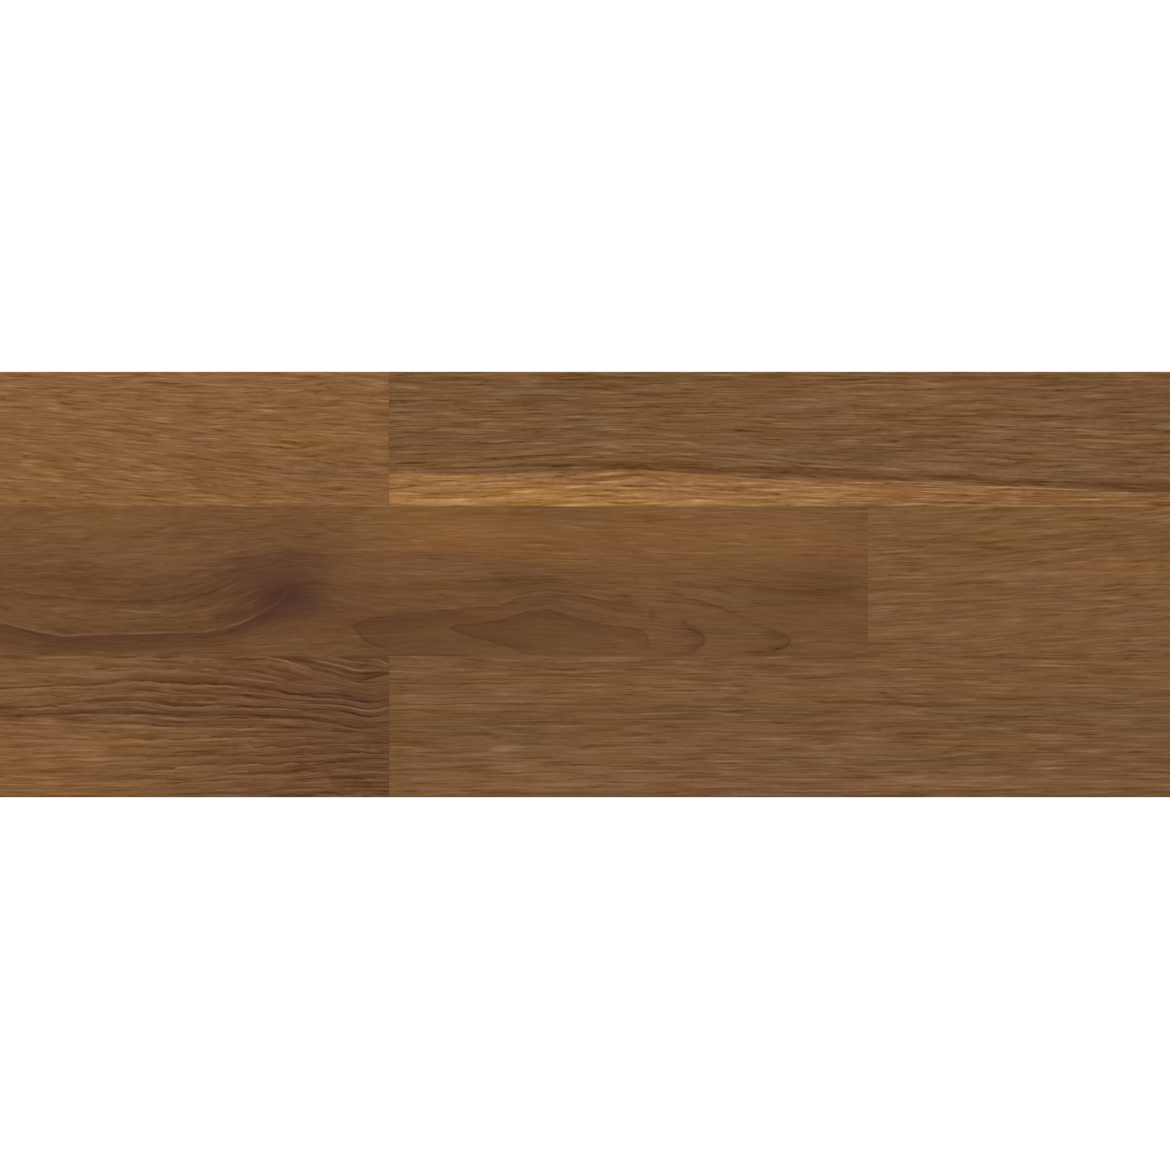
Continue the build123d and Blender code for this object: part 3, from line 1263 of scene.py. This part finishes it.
def knotty_stave() -> Stave:
    """The dark stave of the middle row: a knot with a swirl behind it, and flat-sawn ovals."""
    oval = {"dark": 13.0, "width": 0.55, "shade": 9.0, "shade_reach": 5.5, "gleam": 9.0}
    hook = {"dark": 15.0, "width": 0.7, "shade": 9.0, "shade_reach": 4.0, "gleam": 8.0, "fade": 5.0}
    back = {"dark": 12.0, "width": 0.6, "shade": 4.0, "shade_reach": 2.5, "gleam": 6.0, "fade": 6.0}
    # Light strokes drawn only as painted highlight, with no dark line.
    highlight_stroke = {"dark": 0.0, "gleam": 20.0, "fade": 8.0}
    # The swirl: a painted highlight above its line and a darker band below, which is partly painted shade.
    swirl = GrowthLine(
        (
            (-232.0, -12.5), (-210.0, -15.5), (-189.0, -18.7), (-176.5, -22.0), (-160.0, -25.0),
            (-140.0, -24.6), (-90.0, -23.3), (-75.0, -20.2), (-63.0, -14.8), (-55.0, -10.4), (-49.5, -7.0),
            (-47.4, -4.2), (-46.9, -1.0),
        ),
        dark=5.0,
        width=0.5,
        shade=15.0,
        shade_reach=6.5,
        gleam=25.0,
        gleam_reach=0.9,
        fade=36.0,
    )
    second_swirl = GrowthLine(
        (
            (-232.0, 1.5), (-189.0, -2.2), (-170.0, -5.1), (-140.0, -7.5), (-120.0, -7.9), (-102.0, -5.6),
            (-87.5, -3.7), (-75.0, 3.1),
        ),
        dark=13.0,
        width=0.5,
        shade=6.0,
        shade_reach=2.5,
        gleam=9.0,
        fade=16.0,
    )
    outer_oval = GrowthLine(
        (
            (7.3, -35.5), (-5.0, -30.4), (-12.0, -27.0), (-16.0, -22.6), (-17.6, -19.4), (-6.5, -16.3),
            (5.3, -14.6), (39.0, -11.3), (53.0, -10.8), (62.0, -7.4), (80.4, -4.8), (100.8, -7.1),
            (121.4, -11.4), (129.0, -15.8),
        ),
        **oval,
    )
    inner_oval = GrowthLine(
        (
            (73.6, -34.8), (63.2, -32.3), (42.7, -26.0), (34.5, -23.6), (30.1, -20.7), (39.3, -19.2),
            (51.5, -17.8), (63.2, -14.5), (73.6, -12.4), (80.4, -13.0), (97.4, -18.5), (118.0, -21.2),
            (124.0, -23.6), (126.1, -27.0), (125.5, -31.4), (121.3, -34.0),
        ),
        **oval,
    )
    small_hook = GrowthLine(
        ((141.8, -20.2), (148.6, -22.4), (153.3, -25.3), (152.8, -28.7), (149.4, -31.4), (146.7, -34.8)),
        **hook,
    )
    outer_hook = GrowthLine(
        ((182.0, -20.4), (192.9, -24.8), (194.8, -28.0), (192.9, -30.4), (187.8, -32.1), (185.1, -34.8)),
        **hook,
    )
    hook_back = GrowthLine(
        ((131.6, -3.2), (152.0, -8.3), (162.2, -11.7), (179.3, -19.2), (190.0, -23.6)),
        **back,
    )
    guides = (
        GrainCurve(
            ((-232.0, -31.0), (-160.0, -33.0), (-60.0, -31.5), (0.0, -29.0), (75.0, -27.0), (232.0, -32.0))
        ),
        GrainCurve(
            (
                (-232.0, -12.5), (-189.0, -18.7), (-160.0, -25.0), (-90.0, -23.3), (-63.0, -15.1),
                (-48.5, -6.5), (-36.0, -4.0), (0.0, -9.0), (53.0, -9.0), (80.0, -4.5), (122.0, -11.0),
                (232.0, -15.0),
            )
        ),
        GrainCurve(
            (
                (-232.0, 1.5), (-189.0, -2.2), (-120.0, -7.9), (-87.5, -3.0), (-62.0, 5.0), (-36.0, 6.0),
                (0.0, 1.5), (56.0, 3.0), (130.0, 3.5), (190.0, -1.0), (232.0, -1.5),
            )
        ),
        GrainCurve(((-232.0, 13.0), (-86.0, 12.5), (-52.0, 16.0), (-20.0, 14.0), (232.0, 12.0))),
        GrainCurve(((-232.0, 32.0), (232.0, 32.0))),
    )
    return FiguredStave(
        "middle_row_stave_3",
        Oak.DARK,
        seed=5,
        along_step=0.8,
        across_step=0.46,
        openness=0.64,
        fibre_length=0.8,
        long_from=-20.0,
        long_fibres=1.1,
        guides=guides,
        lines=(
            swirl,
            second_swirl,
            outer_oval,
            inner_oval,
            small_hook,
            outer_hook,
            hook_back,
            GrowthLine(
                ((-86.0, 12.0), (-64.0, 13.8), (-52.0, 15.0), (-24.0, 13.8)),
                dark=5.0, shade=6.0, shade_reach=7.0,
            ),
            GrowthLine(
                ((-28.0, 0.2), (30.0, 0.7), (56.0, 3.0), (90.0, 3.0)), dark=9.0, shade=4.0, shade_reach=3.0
            ),
            GrowthLine(
                ((-43.0, 0.7), (-36.0, 0.9), (-28.0, 0.2)), dark=11.0, shade=4.0, shade_reach=2.0, fade=5.0
            ),
            GrowthLine(((-175.0, 2.6), (-148.0, 2.2), (-120.0, 3.0)), dark=9.0, width=0.5, fade=12.0),
            # Two curved light strokes: painted highlight only.
            GrowthLine(((-62.0, -3.0), (-57.0, 0.6), (-52.0, 3.8)), dark=0.0, gleam=9.0, fade=4.0),
            GrowthLine(((-56.0, -10.2), (-51.0, -6.4), (-48.2, -1.0)), dark=0.0, gleam=11.0, fade=4.0),
            GrowthLine(((-134.6, -12.9), (-105.0, -14.7)), **highlight_stroke),
            GrowthLine(((-97.0, -13.9), (-82.6, -11.4), (-77.0, -9.0)), **highlight_stroke),
            GrowthLine(
                ((117.9, -25.3), (121.3, -28.7), (120.5, -32.1)),
                dark=9.0, shade=4.0, shade_reach=2.0, fade=3.0,
            ),
            GrowthLine(
                ((131.6, 3.6), (152.0, -0.8), (170.5, -6.1), (190.9, -12.4)),
                dark=8.0, shade=3.0, shade_reach=3.0,
            ),
            GrowthLine(
                ((150.0, -1.0), (176.0, -0.8), (201.0, -3.0), (232.0, -1.7)),
                dark=10.0, shade=6.0, shade_reach=5.0,
            ),
        ),
        patches=(
            Patch(-46.5, -7.0, 7.0, 4.5, -6.0),
            Patch(-55.0, -6.0, 14.0, 6.0, -10.0, 28.0),
            Patch(-47.0, -4.0, 22.0, 12.0, -14.0),
            Patch(-38.0, -7.5, 7.0, 8.0, -6.0),
            Patch(-68.0, 3.0, 26.0, 10.0, -12.0, 8.0),
            Patch(-70.0, -17.0, 34.0, 7.0, -9.0, 8.0),
            Patch(-100.0, -5.0, 40.0, 8.0, -6.0),
            Patch(-36.0, 20.0, 24.0, 11.0, -8.0),
            Patch(-170.0, 3.0, 60.0, 10.0, -5.0),
            Patch(110.0, 26.0, 125.0, 17.0, 14.0),
            Patch(10.0, 23.0, 42.0, 15.0, 8.0),
            Patch(180.0, 24.0, 45.0, 10.0, 6.0),
            Patch(-150.0, 28.0, 75.0, 12.0, 7.0),
            Patch(-150.0, -31.0, 75.0, 7.0, -8.0),
            Patch(65.0, 2.0, 45.0, 5.0, -6.0),
            Patch(0.0, -24.0, 25.0, 9.0, -7.0),
            Patch(72.0, -24.0, 45.0, 10.0, -6.0),
            Patch(208.0, -3.0, 26.0, 9.0, -8.0),
            Patch(183.0, -33.5, 14.0, 3.5, -11.0),
            Patch(148.0, -30.5, 4.5, 3.5, -6.0),
            Patch(143.0, -18.5, 1.8, 1.3, -18.0),
            Patch(114.6, -5.6, 3.0, 1.2, -14.0, -25.0),
            Patch(127.8, -14.4, 1.5, 2.4, -16.0, 25.0),
            Patch(5.0, 35.0, 38.0, 3.0, 5.0),
            Patch(42.0, 25.0, 26.0, 5.5, 7.0),
            Patch(98.0, 31.5, 42.0, 4.0, -7.0),
            Patch(18.0, 13.4, 42.0, 1.8, -10.0),
            Patch(15.0, 4.6, 38.0, 2.4, 8.0),
            Patch(124.0, 2.6, 20.0, 3.0, 5.0),
            Patch(62.0, -2.6, 30.0, 2.8, -7.0),
            Patch(167.0, -2.6, 18.0, 4.0, 6.0),
            Patch(212.0, 19.0, 26.0, 7.0, 4.0),
            Patch(210.0, 3.6, 22.0, 2.0, -6.0),
            Patch(22.0, -35.0, 18.0, 4.5, -10.0),
            Patch(56.0, -14.5, 14.0, 2.5, 7.0),
            Patch(118.0, -19.0, 15.0, 8.0, 7.0),
            Patch(160.0, -34.0, 9.0, 5.0, 6.0),
            Patch(-150.0, -21.5, 45.0, 3.0, -6.0),
            Patch(-65.0, -14.0, 45.0, 6.0, -4.0),
        ),
        golden=(
            Patch(40.0, 31.0, 85.0, 11.0, 4.5),
            Patch(130.0, 18.0, 120.0, 14.0, 2.0),
            Patch(-130.0, 30.0, 80.0, 12.0, 2.2),
            Patch(-65.0, 6.0, 40.0, 18.0, -3.0),
        ),
        calm=(
            Patch(-48.0, -3.0, 24.0, 15.0, -0.45),
            Patch(60.0, -24.0, 75.0, 12.0, -0.42),
            Patch(205.0, -8.0, 34.0, 22.0, -0.22),
            Patch(-140.0, -10.0, 80.0, 20.0, -0.1),
        ),
    )


def gathering_ring(number: int, start: float, end: float) -> GrainCurve:
    """One of the rings in front of the wavy lines, which draw together towards the stave's end.

    Args:
        number: Number of the ring, which its small waves depend on.
        start: Place across the board where the rings lie wide apart.
        end: Place across the board at the stave's end.

    Returns:
        The ring as a curve.
    """
    end_wave = 0.6 * np.sin(2.1 * number)
    middle_wave = 0.7 * np.cos(2.3 * number)
    return GrainCurve(
        (
            (-1.0, end + end_wave),
            (-25.0, end),
            (-60.0, 0.75 * end + 0.25 * start + middle_wave),
            (-110.0, 0.4 * end + 0.6 * start),
            (-190.0, start),
            (-465.0, start - 2.0),
        )
    )


def wavy_stave() -> Stave:
    """The dark stave of the front row: raised wavy rings that draw together towards its end."""
    # Wave lines: dark lines with a painted highlight on one side and a darker side, partly painted shade.
    wave = {"dark": 16.0, "width": 0.5, "shade": 6.0, "shade_reach": 2.4}
    wave |= {"gleam": 24.0, "gleam_reach": 0.7}
    # Ripples: faint dark lines, mostly painted highlight.
    ripple = {"dark": 4.0, "width": 0.5, "shade": 3.0, "shade_reach": 2.0, "gleam": 14.0, "fade": 9.0}
    ring_starts = (-75.0, -79.5, -85.8, -92.0, -96.4, -99.6)
    ring_ends = (-74.6, -78.5, -82.5, -86.5, -90.2, -94.0)
    numbers = range(len(ring_ends))
    rings_in_front = [gathering_ring(*ring) for ring in zip(numbers, ring_starts, ring_ends)]
    main_line = GrowthLine(
        (
            (-0.5, -62.9), (-5.3, -64.4), (-13.1, -64.4), (-22.0, -62.2), (-52.5, -60.5), (-90.0, -59.1),
            (-105.0, -58.9), (-121.9, -56.9), (-139.4, -57.1), (-164.2, -58.8), (-189.0, -60.5),
            (-465.0, -64.0),
        ),
        **wave,
    )
    line_in_front = GrowthLine(
        (
            (0.0, -68.8), (-14.0, -69.7), (-33.5, -66.8), (-67.5, -64.9), (-102.0, -64.7), (-137.0, -62.9),
            (-189.0, -63.7), (-465.0, -68.0),
        ),
        **wave,
    )
    line_behind = GrowthLine(
        (
            (-1.9, -56.1), (-9.2, -57.6), (-24.3, -55.4), (-46.6, -53.5), (-57.8, -51.3), (-77.2, -49.2),
            (-99.6, -48.6), (-119.5, -46.9), (-140.6, -48.6), (-190.0, -51.0),
        ),
        **wave,
    )
    corner_line = GrowthLine(
        ((-0.5, -44.6), (-9.2, -45.6), (-18.0, -45.7), (-33.0, -41.6), (-42.7, -38.6), (-60.2, -35.0)),
        **ripple,
    )
    return RingedStave(
        "front_row_stave_3",
        Oak.DARK,
        seed=6,
        along_step=1.3,
        across_step=0.42,
        openness=1.12,
        fibre_length=1.5,
        guides=(
            GrainCurve(((-465.0, -107.0), (0.0, -102.0))),
            *reversed(rings_in_front),
            line_in_front,
            main_line,
            line_behind,
            corner_line,
            GrainCurve(((-465.0, -25.0), (-60.0, -26.0), (0.0, -33.0))),
        ),
        ring_numbers=(-2, 0, 1, 2, 3, 4, 5, 7, 8, 10, 12, 14),
        lines=(
            main_line,
            line_in_front,
            line_behind,
            corner_line,
            GrowthLine(((-55.1, -49.2), (-61.2, -46.4), (-71.4, -45.2), (-99.6, -42.5)), **ripple),
            GrowthLine(((-5.3, -39.1), (-9.2, -39.9), (-16.7, -41.1), (-30.4, -35.6)), **ripple),
            # A light stroke: painted highlight only.
            GrowthLine(((-142.0, -97.5), (-118.0, -96.5)), dark=0.0, gleam=22.0, gleam_reach=1.1, fade=9.0),
        ),
        patches=(
            Patch(-185.0, -85.0, 95.0, 19.0, 21.0),
            Patch(-160.0, -43.0, 60.0, 10.0, 13.0),
            Patch(-100.0, -63.0, 90.0, 5.0, -5.0),
            Patch(-12.0, -68.0, 42.0, 45.0, -8.0),
            Patch(-155.0, -101.5, 60.0, 3.0, 12.0),
            Patch(-111.0, -54.8, 22.0, 2.6, -11.0),
            Patch(-173.0, -44.5, 28.0, 3.0, -8.0),
            Patch(-173.0, -52.0, 24.0, 2.6, 10.0),
            Patch(-48.0, -50.5, 15.0, 2.6, 9.0),
            Patch(-22.0, -37.0, 26.0, 3.0, -8.0),
        ),
        golden=(
            Patch(-15.0, -72.0, 40.0, 32.0, -3.0),
            Patch(-110.0, -58.0, 80.0, 10.0, -2.2),
        ),
        calm=(Patch(-165.0, -43.0, 60.0, 10.0, -0.2),),
        plain=(
            Patch(-180.0, -42.0, 75.0, 12.0, -0.7),
            Patch(-175.0, -86.0, 75.0, 17.0, -0.55),
        ),
    )


def rippled_stave() -> Stave:
    """The brown stave beside the knotty one: short ripples that rise to the right."""
    return FiguredStave(
        "middle_row_stave_4",
        Oak.BROWN,
        seed=7,
        along_step=1.6,
        across_step=0.5,
        openness=0.92,
        slope=0.055,
        fibre_length=1.2,
        lines=(
            GrowthLine(((237.0, -2.7), (257.0, -2.7), (276.0, 0.0), (285.0, 2.0)), dark=14.0, fade=8.0),
            # A light stroke: painted highlight only.
            GrowthLine(((335.0, 17.4), (346.0, 18.2), (357.0, 19.4)), dark=0.0, gleam=16.0, fade=7.0),
            GrowthLine(((294.0, 13.2), (311.0, 16.7)), dark=16.0, fade=7.0),
            GrowthLine(((320.0, 7.5), (341.0, 8.0)), dark=12.0, fade=8.0),
        ),
        patches=(
            Patch(320.0, 2.0, 150.0, 40.0, 4.0),
            Patch(285.0, 34.0, 75.0, 6.0, 5.0),
            Patch(305.0, -16.0, 75.0, 6.0, 4.0),
        ),
        golden=(Patch(310.0, 27.0, 110.0, 18.0, 2.2),),
    )


def straight_stave() -> Stave:
    """The brown stave beside the wavy one: fine straight grain with a light band."""
    return FiguredStave(
        "front_row_stave_4",
        Oak.BROWN,
        seed=8,
        along_step=1.6,
        across_step=0.5,
        openness=1.06,
        fibre_length=1.7,
        sway=0.45,
        patches=(
            Patch(140.0, -52.0, 110.0, 5.0, 7.0),
            Patch(280.0, -40.0, 60.0, 5.0, 5.0),
            Patch(180.0, -61.0, 160.0, 4.0, -3.0),
            Patch(260.0, -74.0, 100.0, 5.0, -4.0),
            Patch(120.0, -84.0, 150.0, 5.0, 5.0),
            Patch(90.0, -97.0, 90.0, 8.0, 8.0),
            Patch(275.0, -97.0, 60.0, 6.0, 4.0),
        ),
        golden=(Patch(200.0, -97.0, 130.0, 16.0, -4.8),),
    )


def other_staves() -> list[Stave]:
    """The staves towards both ends of the board, flat sawn or with plain grain."""
    return [
        FlatSawnStave("back_row_stave_1", Oak.AMBER, seed=11, pith_y=80.0),
        Stave("back_row_stave_2", Oak.DARK, seed=12, slope=0.02),
        FlatSawnStave("back_row_stave_5", Oak.BROWN, seed=13, pith_y=64.0, taper=-0.15),
        Stave("back_row_stave_6", Oak.AMBER, seed=14),
        Stave("middle_row_stave_1", Oak.DARK, seed=15),
        FlatSawnStave("middle_row_stave_2", Oak.BROWN, seed=16, pith_y=4.0),
        FlatSawnStave("middle_row_stave_5", Oak.AMBER, seed=17, pith_y=-12.0, pith_depth=24.0),
        Stave("front_row_stave_1", Oak.DARK, seed=18),
        FlatSawnStave("front_row_stave_2", Oak.BROWN, seed=19, pith_y=-70.0, taper=-0.1),
        Stave("front_row_stave_5", Oak.AMBER, seed=20, slope=-0.03),
        Stave("front_row_stave_6", Oak.BROWN, seed=21),
    ]


@dataclass(frozen=True)
class Face:
    """The oak face: every stave, built and dressed."""

    def build(self) -> None:
        """Builds each stave and gives it the finish of its tone of oak."""
        materials = {oak: oak.value.material() for oak in Oak}
        staves = [
            open_grain_stave(),
            sapwood_stave(),
            knotty_stave(),
            wavy_stave(),
            rippled_stave(),
            straight_stave(),
            *other_staves(),
        ]
        for stave in staves:
            piece = stave.build()
            stave.dress(piece, materials[stave.oak])
            LOG.info("%s stands for %s with %d faces", piece.name, stave.node, len(piece.data.polygons))


@dataclass(frozen=True)
class SpruceFinish:
    """Raw spruce, pale in the early wood and brown in the late wood of each growth ring.

    Attributes:
        slot: Material slot of the record.
        early: Display levels of the early wood.
        late: Display levels of the late wood.
        ring_width: Width of a growth ring.
        sharpness: Power of the rise towards the late wood of a ring.
        late_share: Share of the way from early to late wood that a ring goes.
        fibre_share: Share of that way that the fibres go.
        fibre_cells: Cells of the fibres in a metre, for each axis.
        ring_warp: How far the rings are bent.
        warp_cells: Cells of that bend in a metre, for each axis.
        relief: Depth of the relief that sawing or sanding left.
        relief_strength: How much of the relief shows.
        roughness: Roughness before the fibres add to it.
    """

    slot: str
    early: tuple[int, int, int]
    late: tuple[int, int, int]
    ring_width: float
    sharpness: float
    late_share: float
    fibre_share: float
    fibre_cells: tuple[float, float, float]
    ring_warp: float
    warp_cells: tuple[float, float, float]
    relief: float
    relief_strength: float
    roughness: float

    FIBRE_ROUGHNESS = 0.3
    SPECULAR = 0.2

    def in_rings(self, graph: Graph, place: Place) -> tuple[Socket, Socket | float]:
        """Distance across the rings in metres, and shade as a share. Each kind of spruce has its own."""
        raise NotImplementedError

    def material(self) -> bpy.types.Material:
        """Makes the material: late wood by the place in the rings, and fibres.

        The late wood is the fraction of the distance over the ring width, to the power of the
        sharpness.

        Returns:
            The material.
        """
        graph = Graph(self.slot)
        place = graph.object_place()
        distance, shade = self.in_rings(graph, place)
        ring = graph.math("FRACT", graph.math("DIVIDE", distance, self.ring_width * MM))
        late = graph.math("POWER", ring, self.sharpness)
        fibres = graph.noise(graph.cells(place, self.fibre_cells))
        figure = graph.total(graph.scaled(late, self.late_share), graph.scaled(fibres, self.fibre_share))
        stops = [(0.0, linear_colour(*self.early)), (1.0, linear_colour(*self.late))]
        colour = graph.ramp(graph.total(figure, shade), stops)
        graph.bump(graph.total(late, fibres), self.relief, self.relief_strength)
        roughness = graph.scaled(fibres, self.FIBRE_ROUGHNESS, self.roughness)
        return graph.dress(colour, roughness, self.SPECULAR)


@dataclass(frozen=True)
class CoreFinish(SpruceFinish):
    """Sawn spruce slats that lie across the board.

    Attributes:
        pitch: Spacing of the slats along the board.
    """

    slot: str = "spruce_core"
    early: tuple[int, int, int] = (204, 168, 121)
    late: tuple[int, int, int] = (163, 117, 72)
    ring_width: float = 2.6
    sharpness: float = 4.0
    late_share: float = 0.75
    fibre_share: float = 0.5
    fibre_cells: tuple[float, float, float] = (1500.0, 90.0, 1500.0)
    ring_warp: float = 3.0
    warp_cells: tuple[float, float, float] = (60.0, 8.0, 60.0)
    relief: float = 0.15
    relief_strength: float = 0.4
    roughness: float = 0.75
    pitch: float = 27.5125

    PITH_SPREAD = 60.0
    LEAST_PITH_DEPTH = 4.0
    PITH_DEPTHS = 50.0
    LIGHTEST_SLAT = -0.05
    SLAT_SHADES = 0.3

    def in_rings(self, graph: Graph, place: Place) -> tuple[Socket, Socket | float]:
        """Distance in the XZ plane from a pith below the slat, with a shade for each slat.

        The pith and the shade are drawn from the slat's number, which is its place along the board
        over the pitch.

        Args:
            graph: Material that it is worked out in.
            place: Place in the piece's own frame.

        Returns:
            The distance in metres, and the shade as a share of the way from early to late wood.
        """
        x, _, z = place
        pitch = self.pitch * MM
        spread = self.PITH_SPREAD * MM
        half_length = CAD_BOX[1][0]
        number = graph.math("FLOOR", graph.math("DIVIDE", graph.math("ADD", x, half_length), pitch))
        middle = graph.scaled(graph.math("ADD", number, 0.5), pitch, -half_length)
        draw = graph.tree.nodes.new("ShaderNodeTexWhiteNoise")
        draw.noise_dimensions = "1D"
        graph.feed(draw.inputs["W"], number)
        first, second, third = graph.split(draw.outputs["Color"])
        pith_x = graph.total(middle, graph.scaled(first, spread, -0.5 * spread))
        pith_z = graph.scaled(second, -self.PITH_DEPTHS * MM, -self.LEAST_PITH_DEPTH * MM)
        off_x = graph.math("SUBTRACT", x, pith_x)
        off_z = graph.math("SUBTRACT", z, pith_z)
        squares = graph.scaled(off_x, off_x, graph.math("MULTIPLY", off_z, off_z))
        warp = graph.noise(graph.cells(place, self.warp_cells))
        distance = graph.scaled(warp, self.ring_warp * MM, graph.math("SQRT", squares))
        return distance, graph.scaled(third, self.SLAT_SHADES, self.LIGHTEST_SLAT)


@dataclass(frozen=True)
class VeneerFinish(SpruceFinish):
    """Sanded spruce veneer with long grain."""

    slot: str = "spruce_backing"
    early: tuple[int, int, int] = (198, 162, 116)
    late: tuple[int, int, int] = (158, 115, 72)
    ring_width: float = 7.0
    sharpness: float = 3.0
    late_share: float = 0.7
    fibre_share: float = 0.6
    fibre_cells: tuple[float, float, float] = (60.0, 1200.0, 900.0)
    ring_warp: float = 90.0
    warp_cells: tuple[float, float, float] = (3.0, 14.0, 1.0)
    relief: float = 0.1
    relief_strength: float = 0.3
    roughness: float = 0.72

    WARP_DETAIL = 2.0
    LEAN = 0.8
    SHADE = 0.08

    def in_rings(self, graph: Graph, place: Place) -> tuple[Socket, Socket | float]:
        """Place across the board, bent along it and leaning with the height, and one shade.

        Args:
            graph: Material that it is worked out in.
            place: Place in the piece's own frame.

        Returns:
            The distance in metres, and the shade as a share of the way from early to late wood.
        """
        _, y, z = place
        warp = graph.noise(graph.cells(place, self.warp_cells), self.WARP_DETAIL)
        bend = graph.scaled(warp, self.ring_warp * MM)
        return graph.total(y, bend, graph.scaled(z, self.LEAN)), self.SHADE


@dataclass(frozen=True)
class Underlayers:
    """The core and the backing, which keep their CAD shapes and get their finishes."""

    core: str = "core_slats"
    backing: str = "backing_veneer"

    def build(self) -> None:
        """Puts the spruce finishes on the two CAD nodes."""
        for node, finish in ((self.core, CoreFinish()), (self.backing, VeneerFinish())):
            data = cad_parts[node].data
            data.materials.clear()
            data.materials.append(finish.material())
            LOG.info("dressed %s with %s", node, finish.slot)


@dataclass(frozen=True)
class Studio:
    """A pale floor, soft light and a camera that looks straight down on the face.

    Attributes:
        look_at: Place on the face under the camera.
        view_width: Width of the face that the picture spans.
        lens: Focal length of the camera.
    """

    look_at: tuple[float, float] = (95.2, -0.3)
    view_width: float = 568.4
    lens: float = 150.0

    SENSOR = 36.0
    FLOOR_SIZE = 30.0
    FLOOR_SHADE = (0.9, 0.9, 0.9, 1.0)
    FLOOR_GLOW = 0.85
    FLOOR_ROUGHNESS = 0.9
    WHITE = (1.0, 1.0, 1.0, 1.0)
    SKY = 0.42
    SOFTBOX_PLACE = (-1.6, 6.8, 5.6)
    SOFTBOX_SIZE = 5.2
    SOFTBOX_POWER = 700.0

    def build(self) -> None:
        """Makes the floor, the lights, the sky and the camera, and sets plain colour management."""
        self.lay_floor()
        self.hang_softbox()
        self.spread_sky()
        self.set_camera()
        scene = bpy.context.scene
        scene.view_settings.view_transform = "Standard"
        scene.view_settings.look = "None"

    def lay_floor(self) -> None:
        """Lays the floor: one square on the plane that the board lies on."""
        half = self.FLOOR_SIZE / 2.0
        corners = [(-half, -half, 0.0), (half, -half, 0.0), (half, half, 0.0), (-half, half, 0.0)]
        mesh = bpy.data.meshes.new("studio_floor")
        mesh.from_pydata(corners, [], [(0, 1, 2, 3)])
        floor = bpy.data.objects.new("studio_floor", mesh)
        bpy.context.scene.collection.objects.link(floor)
        graph = Graph("pale_floor")
        graph.shader.inputs["Emission Color"].default_value = self.WHITE
        graph.shader.inputs["Emission Strength"].default_value = self.FLOOR_GLOW
        mesh.materials.append(graph.dress(self.FLOOR_SHADE, self.FLOOR_ROUGHNESS, specular=0.0))

    def hang_softbox(self) -> None:
        """Hangs the softbox behind the board, aimed at it, so that the relief casts soft shade."""
        light = bpy.data.lights.new("softbox", "AREA")
        light.size = self.SOFTBOX_SIZE
        light.energy = self.SOFTBOX_POWER
        lamp = bpy.data.objects.new("softbox", light)
        lamp.location = self.SOFTBOX_PLACE
        lamp.rotation_euler = (-Vector(self.SOFTBOX_PLACE)).to_track_quat("-Z", "Y").to_euler()
        bpy.context.scene.collection.objects.link(lamp)

    def spread_sky(self) -> None:
        """Spreads an even white sky."""
        world = bpy.data.worlds.new("even_sky")
        world.use_nodes = True
        background = world.node_tree.nodes["Background"]
        background.inputs["Color"].default_value = self.WHITE
        background.inputs["Strength"].default_value = self.SKY
        bpy.context.scene.world = world

    def set_camera(self) -> None:
        """Sets the camera over the face, at the height where the view spans its width."""
        data = bpy.data.cameras.new("face_camera")
        data.lens = self.lens
        data.sensor_width = self.SENSOR
        camera = bpy.data.objects.new("face_camera", data)
        height = CAD_BOX[1][2] + self.view_width * MM * self.lens / self.SENSOR
        camera.location = (self.look_at[0] * MM, self.look_at[1] * MM, height)
        bpy.context.scene.collection.objects.link(camera)
        bpy.context.scene.camera = camera


def main() -> None:
    """Builds the face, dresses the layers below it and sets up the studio."""
    logging.basicConfig(level=logging.INFO, format="%(name)s: %(message)s")
    Face().build()
    Underlayers().build()
    Studio().build()


if __name__ == "__main__":
    main()
